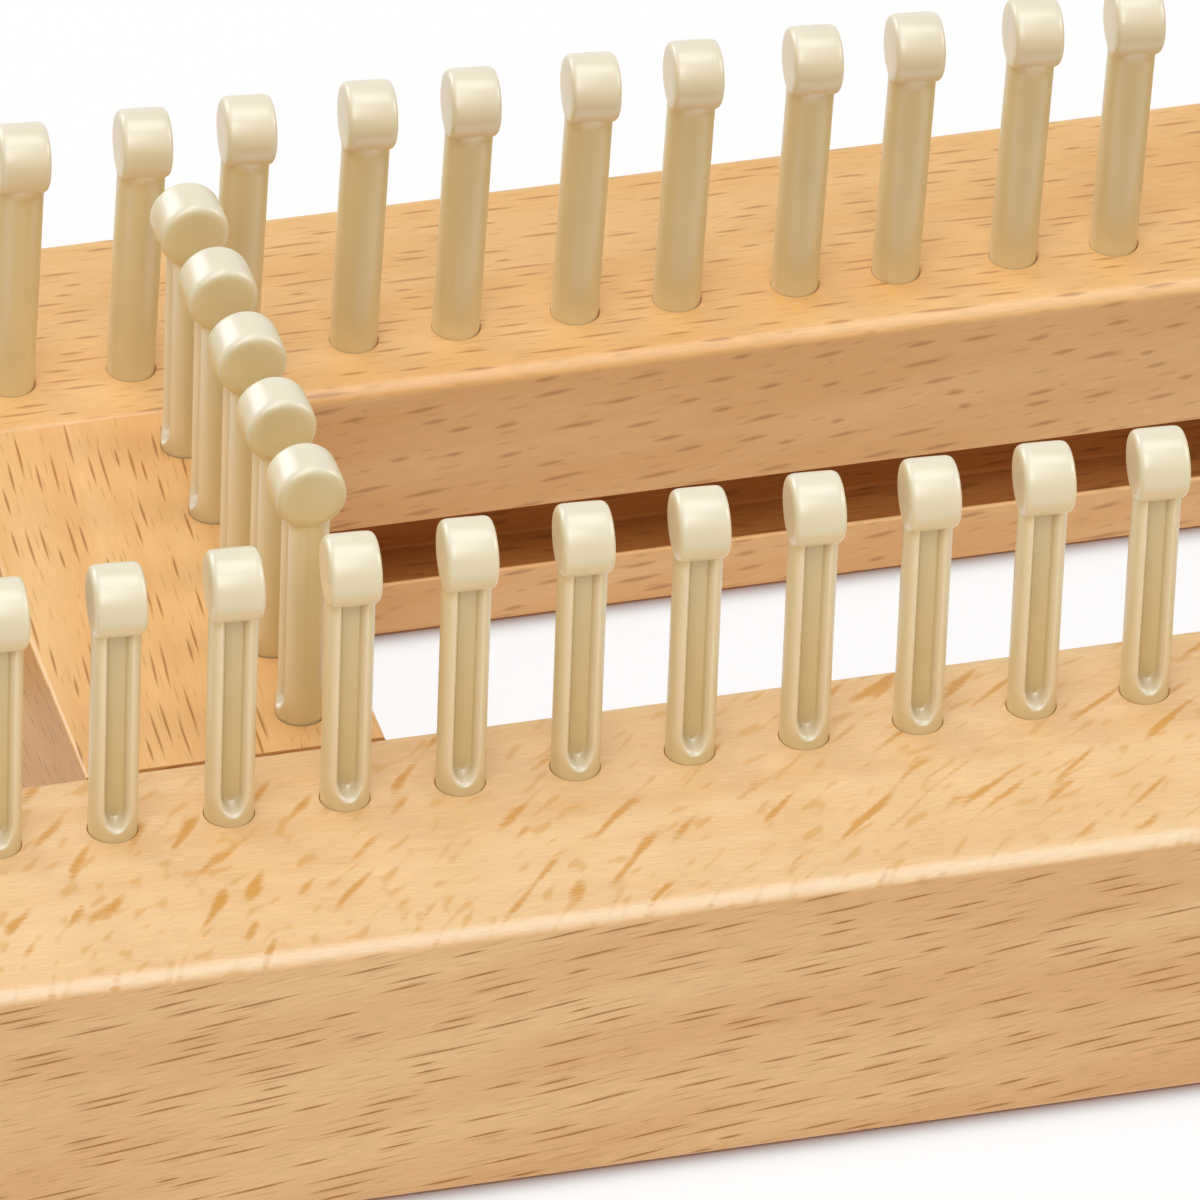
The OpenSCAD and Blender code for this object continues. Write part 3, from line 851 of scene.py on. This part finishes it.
remesh.mode = "VOXEL"
remesh.voxel_size = forge_voxel
soften = forged.modifiers.new("soften", "SMOOTH")
soften.iterations = forge_smoothing
nut_mesh = bpy.data.meshes.new_from_object(forged.evaluated_get(bpy.context.evaluated_depsgraph_get()))
bpy.data.objects.remove(forged)
bore = bmesh.new()
bore_mouth_r = nut_bore_r + nut_bore_edge + cut_over
turned(bore, [(0, -cut_over), (bore_mouth_r, -cut_over), (nut_bore_r, nut_bore_edge),
              (nut_bore_r, hub_h - nut_bore_edge), (bore_mouth_r, hub_h + cut_over),
              (0, hub_h + cut_over)], hole_sides)
nut_mesh = combined("nut", nut_mesh, as_mesh(bore, "bore"), "DIFFERENCE")
upright_wings = Matrix.Rotation(math.pi / 2, 4, "Z")
for side, x in bolt_places:
    place = Matrix.Translation((x, washer_high.y, bolt_z)) @ to_rear @ upright_wings
    placed_piece(f"{side}_wing_nut_zinc", copies(f"{side}_wing_nut", nut_mesh, [place]), zinc, nut_sharp,
                 f"{side}_wing_nut", "zinc_steel", f"{side}_wing_nut")

# Table: a plain matt white top. What the camera and reflections see of it is mostly bare white, with a
# little of its real shading left in, so that it carries the loom's soft shadow. Where the wood comes close
# to it, a narrow brown contact shadow is painted into that white.
table_size = 3
table_white = 0.83
table_glow = 0.07
contact_reach = 3.4 * mm
contact_full = 0.48
contact_falloff = 2
table = bmesh.new()
bmesh.ops.create_grid(table, x_segments=1, y_segments=1, size=table_size)
table_material, table_tree, table_output = new_material("matt_white_table")
matt = add(table_tree, "ShaderNodeBsdfPrincipled", {"Base Color": colour("#F8F6F4"), "Roughness": 0.9,
                                                    "Emission Color": (1, 1, 1, 1),
                                                    "Emission Strength": table_glow})
rays = add(table_tree, "ShaderNodeLightPath", {}).outputs
seen = add(table_tree, "ShaderNodeMath", {0: rays["Is Camera Ray"], 1: rays["Is Glossy Ray"]},
           operation="MAXIMUM")
seen = add(table_tree, "ShaderNodeMath", {0: seen.outputs[0], 1: rays["Is Transmission Ray"]},
           operation="MAXIMUM")
part = add(table_tree, "ShaderNodeMath", {0: seen.outputs[0], 1: table_white}, operation="MULTIPLY")
# The white is darkened and tinged brown where the wood is near: a painted contact shadow
near = add(table_tree, "ShaderNodeAmbientOcclusion", {"Distance": contact_reach}, samples=12)
closeness = add(table_tree, "ShaderNodeMapRange", {"Value": near.outputs["AO"], "From Min": 1,
                                                   "From Max": contact_full})
contact = add(table_tree, "ShaderNodeMath", {0: closeness.outputs[0], 1: contact_falloff},
              operation="POWER")
tint = add(table_tree, "ShaderNodeMix", {"Factor": contact.outputs[0], "A": (1, 1, 1, 1),
                                         "B": colour("#6A3410")}, data_type="RGBA")
white = add(table_tree, "ShaderNodeEmission", {"Color": tint.outputs["Result"]})
blend = add(table_tree, "ShaderNodeMixShader", {0: part.outputs[0], 1: matt.outputs[0],
                                                2: white.outputs[0]})
table_tree.links.new(blend.outputs[0], table_output.inputs["Surface"])
table_mesh = as_mesh(table, "table")
table_mesh.materials.append(table_material)
table_top = bpy.data.objects.new("table", table_mesh)
bpy.context.scene.collection.objects.link(table_top)

# Studio light: a white room with four softboxes, one overhead, the key light at the front left, a fill at
# the right and one behind at the left, which lights the sliding block's pegs from the side.
room_light = 0.26
world = bpy.data.worlds.new("white_room")
bpy.context.scene.world = world
world.use_nodes = True
world.node_tree.nodes.clear()
room_rays = add(world.node_tree, "ShaderNodeLightPath", {}).outputs
room = add(world.node_tree, "ShaderNodeBackground", {"Color": (1, 1, 1, 1), "Strength": room_light})
backdrop = add(world.node_tree, "ShaderNodeBackground", {"Color": (1, 1, 1, 1), "Strength": 1})
room_share = add(world.node_tree, "ShaderNodeMath", {0: room_rays["Is Camera Ray"],
                                                     1: room_rays["Is Glossy Ray"]}, operation="MAXIMUM")
room_seen = add(world.node_tree, "ShaderNodeMixShader", {0: room_share.outputs[0], 1: room.outputs[0],
                                                         2: backdrop.outputs[0]})
add(world.node_tree, "ShaderNodeOutputWorld", {"Surface": room_seen.outputs[0]})
for name, place, size, power in (
    ("overhead_softbox", Vector((0.05, 0.05, 1.3)), (0.8, 0.8), 4.5),
    ("key_softbox", Vector((-0.42, -0.82, 1.02)), (1, 1), 8.2),
    ("right_softbox", Vector((1.06, -0.18, 0.54)), (0.6, 0.6), 3.7),
    ("left_softbox", Vector((-0.7, 0.9, 0.6)), (0.8, 0.6), 5),
):
    lamp = bpy.data.lights.new(name, "AREA")
    lamp.shape = "RECTANGLE"
    lamp.size, lamp.size_y = size
    lamp.energy = power
    light = bpy.data.objects.new(name, lamp)
    light.location = place
    light.rotation_euler = (-place).to_track_quat("-Z", "Y").to_euler()
    bpy.context.scene.collection.objects.link(light)

# Camera: a long lens from the front left and above, close on the sliding block. It is turned a little
# about its own line of sight.
camera_elevation = math.radians(35.2545)
camera_yaw = math.radians(16.5726)
camera_roll = math.radians(2.2431)
camera_aim = Vector((-34.12, 17.66, 0)) * mm
camera_distance = 1344.7 * mm
camera_lens = 480.46
forward = Vector((math.sin(camera_yaw) * math.cos(camera_elevation),
                  math.cos(camera_yaw) * math.cos(camera_elevation), -math.sin(camera_elevation)))
camera = bpy.data.objects.new("camera", bpy.data.cameras.new("camera"))
camera.data.lens = camera_lens
camera.location = camera_aim - forward * camera_distance
camera.rotation_mode = "QUATERNION"
camera.rotation_quaternion = forward.to_track_quat("-Z", "Y") @ Quaternion((0, 0, 1), camera_roll)
bpy.context.scene.collection.objects.link(camera)
bpy.context.scene.camera = camera
bpy.context.scene.view_settings.view_transform = "Standard"
